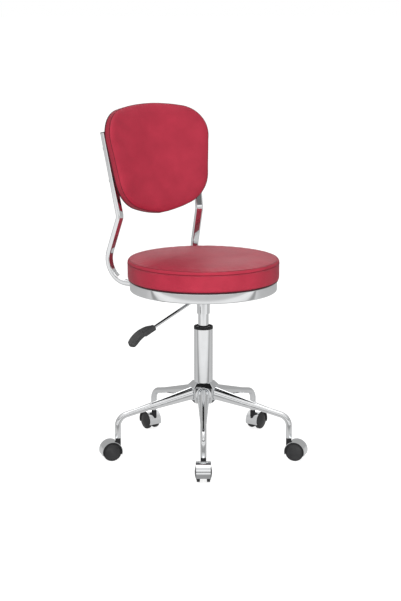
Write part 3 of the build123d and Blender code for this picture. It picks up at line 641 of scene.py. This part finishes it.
def upholster(name, body, outline, middle, place, height, top, low, grooves, stitched, crown, cap, finishes,
              shrink, pressure=4.0, count=56, bulge=0.0, seam_cord=0.6 * mm, calming=0):
    """A sewn pad: built flat on its outline, swollen between its seams, stitched, then placed."""
    lap, row_spacing = 4 * mm, 3.6 * mm
    gather_reach, gather_depth, gather_size = 14 * mm, 0.25 * mm, 18 * mm
    profile, ends = side_profile(height, top, low, lap, bulge)
    stops = row_stops(ends, row_spacing, grooves)
    points, faces, rows = pad_points(outline, profile, stops, grooves, count, crown, middle)
    points = [p - Vector((0, 0, shrink if p.z > -height / 2 else 0)) for p in points]
    piece = add_piece(name, mesh_of(name, points, faces), body, finishes["leather"])
    held = set()
    for s, row in zip(stops, rows):
        if s > ends[2] or any(abs(s - c) < w * 0.7 for c, d, w in grooves):
            held.update(row)
    held.update(range(len(points) - (count + 1) ** 2, len(points)))
    inflate(piece, sorted(held), pressure, cap)
    calm(piece, held, calming)

    def row_at(distance):
        return rows[min(range(len(stops)), key=lambda k: abs(stops[k] - distance))]

    seam_rows = [row_at(c) for c, d, w in grooves]
    seam_points = [p for row in seam_rows for p in row_line(piece, row)[0]]
    pucker(piece, seam_points, gather_reach, gather_depth, gather_size)
    lines = [row_line(piece, row_at(distance)) for distance in stitched]
    seams = [row_line(piece, row) for row in seam_rows]
    soften(piece)
    move(piece.data, place)
    for number, (line, normals) in enumerate(lines, 1):
        label = f"{name}_stitches_{number}"
        made, quads = stitch_row(line, normals, 4.6 * mm, 3.4 * mm, 0.42 * mm, 0.25 * mm)
        add_piece(label, mesh_of(label, map(place, made), quads), body, finishes["thread"])
    # Dark cords laid in the seam grooves: painted shade that darkens the seam lines
    for number, (line, normals) in enumerate(seams, 1):
        label = f"{name}_seam_{number}"
        made, quads = swept_ring(line, normals, seam_cord)
        add_piece(label, mesh_of(label, map(place, made), quads), body, finishes["piping"])
    return piece


def make_seat_cushion(m):
    low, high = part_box("seat_cushion")
    radius, height = (high.x - low.x) / 2, high.z - low.z
    outline = Outline([p.to_2d() for p in circle(720, radius)])
    rim_seam = (8.5 * mm, 1.2 * mm, 1.0 * mm)
    side_seam = (19.5 * mm, 1.2 * mm, 1.0 * mm)
    piece = upholster(
        "seat_pad", "seat", outline, Vector((0, 0)), lambda p: p + upward * high.z, height, top=9 * mm,
        low=6 * mm, grooves=[rim_seam, side_seam], stitched=[side_seam[0] + 2.8 * mm], crown=1.5 * mm,
        cap=5 * mm, finishes=m, shrink=1.0 * mm)
    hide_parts("seat_cushion")
    # A dark cord round the cushion's lower edge: painted shade for the dark line where the underside turns
    # in above the ring
    count, inset, lift, thickness = 256, 4.2 * mm, 0.6 * mm, 2.3 * mm
    made, faces = swept_ring(circle(count, radius - inset, low.z + lift), circle(count), thickness)
    add_piece("seat_edge_shade_cord", mesh_of("seat_edge_shade_cord", made, faces), "seat", m["piping"])


def shield_outline(inset=0.0):
    """The backrest's outline on its plane: tangent arcs down one half, mirrored to the other."""
    corners = [(0.0, 199.0), (106.0, 185.5), (166.0, 94.0), (150.5, -9.0), (89.0, -82.5), (0.0, -100.0)]
    heading, half = Vector((1.0, 0.0)), []
    for start, end in zip(corners, corners[1:]):
        chord = Vector(end) - Vector(start)
        turn = 2 * atan2(heading.x * chord.y - heading.y * chord.x, heading.dot(chord))
        steps = 24
        radius = chord.length / 2 / sin(abs(turn) / 2)
        left = Vector((-heading.y, heading.x)) * (1 if turn > 0 else -1)
        centre = Vector(start) + left * radius
        spoke = Vector(start) - centre
        half += [centre + Matrix.Rotation(turn * k / steps, 2) @ spoke for k in range(steps)]
        heading = Matrix.Rotation(turn, 2) @ heading
    half.append(Vector(corners[-1]))
    whole = half + [Vector((-p.x, p.y)) for p in half[-2:0:-1]]
    whole.reverse()
    mid_height = 40
    first = max(range(len(whole)), key=lambda k: whole[k].x - abs(whole[k].y - mid_height) * 0.2)
    whole = [p * mm for p in whole[first:] + whole[:first]]
    outline = Outline(whole)
    if inset:
        count = len(whole)
        shares = [k / count for k in range(count)]
        outline = Outline([outline(t) - outline.outward(t) * inset for t in shares])
    return outline


# The backrest is bent to a cylinder that leans back, as its board is in CAD
recline = radians(13.0)
board_back = Vector((0, 0.220, 0.722))
bend_radius = 0.437
board_thickness = 7 * mm
pad_thickness = 31 * mm


def bent(p):
    """From the flat pattern to the row frame: x and y on the plane, z the depth before the board's back."""
    right, up = Vector((1, 0, 0)), Vector((0, sin(recline), cos(recline)))
    near = bend_radius - p.z
    depth = bend_radius - sqrt(near * near - p.x * p.x)
    return board_back + right * p.x + up * p.y + right.cross(up) * depth


def make_backrest(m):
    total = board_thickness + pad_thickness
    seam = (21.0 * mm, 0.9 * mm, 1.0 * mm)
    middle = Vector((0, 0.045))
    pad = upholster(
        "backrest_pad", "seat", shield_outline(), middle, lambda p: bent(p + upward * total), pad_thickness,
        top=14 * mm, low=4 * mm, grooves=[seam], stitched=[], crown=2.5 * mm, cap=3 * mm, finishes=m,
        shrink=2.0 * mm, pressure=2.0, seam_cord=0.8 * mm, calming=14)
    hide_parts("backrest_cushion")
    panel = upholster(
        "backrest_back_panel", "seat", shield_outline(4 * mm), middle,
        lambda p: bent(Vector((-p.x, p.y, -p.z))), board_thickness + 1 * mm, top=4 * mm, low=1.5 * mm,
        grooves=[(9.0 * mm, 0.7 * mm, 0.9 * mm)], stitched=[10.5 * mm], crown=0.0, cap=0.6 * mm,
        finishes=m, shrink=0.3 * mm, count=48, seam_cord=0.5 * mm)
    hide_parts("backrest_board")
    # Dark piping between the pad and its board: partly piping, partly painted shade for the dark line round
    # the pad's edge
    line = shield_outline(2.6 * mm)
    count = 240
    points = [Vector((*line(k / count), board_thickness)) for k in range(count)]
    normals = [Vector((*line.outward(k / count), 0)) for k in range(count)]
    made, faces = swept_ring(points, normals, 2.4 * mm)
    mesh = mesh_of("backrest_piping_and_shade", map(bent, made), faces)
    add_piece("backrest_piping_and_shade", mesh, "seat", m["piping"])


# ---------------------------------------------------------------- underside
def make_dust_cover(m):
    """Stapled felt under the seat board, a little slack between its staples."""
    low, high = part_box("seat_board")
    radius, spokes, rings = high.x - 0.5 * mm, 96, 24
    points = [Vector((0, 0, low.z - 0.5 * mm))]
    for r in range(1, rings + 1):
        for k in range(spokes):
            a, share = 2 * pi * k / spokes, r / rings
            waves = noise.noise(Vector((cos(a), sin(a), 0)) * share * 9)
            sag = 0.5 * mm + 0.35 * mm * waves * (1 - share ** 6)
            points.append(Vector((cos(a) * radius * share, sin(a) * radius * share, low.z - sag)))
    faces = [[0, 1 + (k + 1) % spokes, 1 + k] for k in range(spokes)]
    for r in range(rings - 1):
        for k in range(spokes):
            j = (k + 1) % spokes
            near, far = 1 + r * spokes, 1 + (r + 1) * spokes
            faces.append([near + k, near + j, far + j, far + k])
    first = 1 + (rings - 1) * spokes
    edge = len(points)
    points += [Vector((p.x, p.y, low.z)) for p in points[first:first + spokes]]
    for k in range(spokes):
        j = (k + 1) % spokes
        faces.append([first + k, first + j, edge + j, edge + k])
    faces.append([edge + k for k in range(spokes)][::-1])
    mesh = mesh_of("seat_dust_cover", points, faces)
    add_piece("seat_dust_cover", mesh, "seat", m["dust_cover"])
    line = circle(192, radius - 6 * mm, low.z - 0.5 * mm)
    made, quads = stitch_row(line, [-upward] * len(line), 27 * mm, 10 * mm, 0.45 * mm, 0.3 * mm)
    add_piece("seat_staples", mesh_of("seat_staples", made, quads), "seat", m["zinc_steel"])


# ---------------------------------------------------------------- chromed tubes
def skin(sections, closed=False):
    """Faces joining rings of points, one after another; open runs are capped at both ends."""
    sides, points, faces = len(sections[0]), [p for ring in sections for p in ring], []
    for r in range(len(sections) if closed else len(sections) - 1):
        here, there = r * sides, (r + 1) % len(sections) * sides
        for j in range(sides):
            i = (j + 1) % sides
            faces.append([here + j, here + i, there + i, there + j])
    if not closed:
        faces.append([j for j in range(sides)][::-1])
        faces.append([(len(sections) - 1) * sides + j for j in range(sides)])
    return points, faces


def make_legs(m):
    """The five tapered, elbowed legs: an oval root on the hub, a round tube, and a drop to the caster."""
    sides, taper_rings, arc_rings = 48, 24, 16
    slope, tube, elbow = radians(13.4), 8 * mm, 30 * mm
    root_radius, root_height, taper_end = 28 * mm, 164.4 * mm, 182 * mm
    root_half_wide, root_half_high = 17 * mm, 17.5 * mm
    foot_height, foot_edge = 58 * mm, 0.4 * mm
    joints = {joint["name"]: joint for joint in frame["record"]["behaviour"]["joints"]}
    for number in range(1, 6):
        spot = Vector(joints[f"caster_{number}_swivel"]["pos_m"])
        out = Vector((spot.x, spot.y, 0)).normalized()
        reach, side = Vector((spot.x, spot.y, 0)).length, upward.cross(out)
        along = out * cos(slope) - upward * sin(slope)
        raised = along.cross(side)

        def ring(centre, high, half_wide, half_high):
            return [centre + side * c.x * half_wide + high * c.y * half_high for c in circle(sides)]

        root = ring(out * root_radius + upward * root_height, upward, root_half_wide, root_half_high)
        end_centre = out * taper_end + upward * (root_height - (taper_end - root_radius) * tan(slope))
        end = ring(end_centre, raised, tube, tube)
        shares = [t / taper_rings for t in range(taper_rings + 1)]
        sections = [[a.lerp(b, share) for a, b in zip(root, end)] for share in shares]
        corner = out * reach + upward * (root_height - (reach - root_radius) * tan(slope))
        turn = pi / 2 - slope
        back = elbow * tan(turn / 2)
        start = corner - along * back
        centre = start - raised * elbow
        for k in range(arc_rings + 1):
            a = turn * k / arc_rings
            high = raised * cos(a) + along * sin(a)
            sections.append(ring(centre + high * elbow, high, tube, tube))
        foot = Vector((spot.x, spot.y, foot_height))
        sections.append(ring(foot + upward * foot_edge, out, tube, tube))
        sections.append(ring(foot, out, tube - foot_edge, tube - foot_edge))
        mesh = mesh_of(f"chrome_leg_{number}", *skin(sections))
        piece = add_piece(f"chrome_leg_{number}", mesh, "base", m["chrome"])
        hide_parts(f"leg_{number}")


def make_ring(m):
    """The rectangular tube ring under the seat, with its four welded tabs."""
    low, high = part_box("seat_ring")
    outer, wide, corner, steps, count = high.x, 10 * mm, 3 * mm, 6, 256
    profile = []
    inner = outer - wide
    for k, (x, z) in enumerate(((outer, high.z), (inner, high.z), (inner, low.z), (outer, low.z))):
        cx = x - corner if x == outer else x + corner
        cz = z - corner if z == high.z else z + corner
        turns = [pi / 2 * (k + t / steps) for t in range(steps + 1)]
        profile += [(cx + corner * cos(a), cz + corner * sin(a)) for a in turns]
    sections = [[way * x + upward * z for x, z in profile] for way in circle(count)]
    points, faces = skin(sections, closed=True)
    tab_low, tab_high, half, reach = 460 * mm, 462 * mm, 13 * mm, 22.5 * mm
    cut, nick = 3 * mm, 0.9 * mm
    tip = inner - reach
    edge = [(tip, -half + cut), (tip + nick, -half + nick), (tip + cut, -half), (inner, -half),
            (inner, half), (tip + cut, half), (tip + nick, half - nick), (tip, half - cut)]
    for k in range(4):
        a = pi / 4 + k * pi / 2
        out, side = Vector((cos(a), sin(a), 0)), Vector((-sin(a), cos(a), 0))
        tab = [[out * x + side * y + upward * z for x, y in edge] for z in (tab_low, tab_high)]
        more, quads = skin(tab)
        faces += [[i + len(points) for i in q] for q in quads]
        points += more
    piece = add_piece("chrome_ring", mesh_of("chrome_ring", points, faces), "seat", m["chrome"])
    smooth_by_angle(piece)
    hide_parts("seat_ring")


def smooth_by_angle(piece, limit=radians(40)):
    """Marks the mesh's hard corners sharp, so that only its rounds shade smoothly."""
    mesh = piece.data
    faces_of = {}
    for polygon in mesh.polygons:
        for key in polygon.edge_keys:
            faces_of.setdefault(key, []).append(polygon.normal.copy())
    for edge in mesh.edges:
        pair = faces_of.get(edge.key, [])
        edge.use_edge_sharp = len(pair) == 2 and pair[0].angle(pair[1], 0.0) > limit


def make_grip(m):
    """The lever's moulded paddle: the CAD shape with all its edges rounded over."""
    source = frame["nodes"]["lever_grip"]
    mesh = source.data.copy()
    mesh.name = "grip_moulding"
    mesh.materials.clear()
    piece = add_piece("grip_moulding", mesh, "lever", m["grip_plastic"])
    remesh = piece.modifiers.new("voxels", "REMESH")
    remesh.mode = "VOXEL"
    remesh.voxel_size = 0.9 * mm
    remesh.use_smooth_shade = True
    relax = piece.modifiers.new("relax", "SMOOTH")
    relax.factor = 0.5
    relax.iterations = 6
    bake_modifiers(piece)
    piece.data.polygons.foreach_set("use_smooth", [True] * len(piece.data.polygons))
    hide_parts("lever_grip")


# ---------------------------------------------------------------- carried-over CAD pieces
def finish_cad_nodes(m):
    for part in frame["record"]["subparts"]:
        node = frame["nodes"][part["node"]]
        node.data.materials.clear()
        node.data.materials.append(m[part["material_slot"]])


make_camera()
make_world()
make_floor()
make_lights()
materials = make_materials()
finish_cad_nodes(materials)
make_seat_cushion(materials)
make_backrest(materials)
make_dust_cover(materials)
make_legs(materials)
make_ring(materials)
make_grip(materials)

bpy.context.view_layer.update()
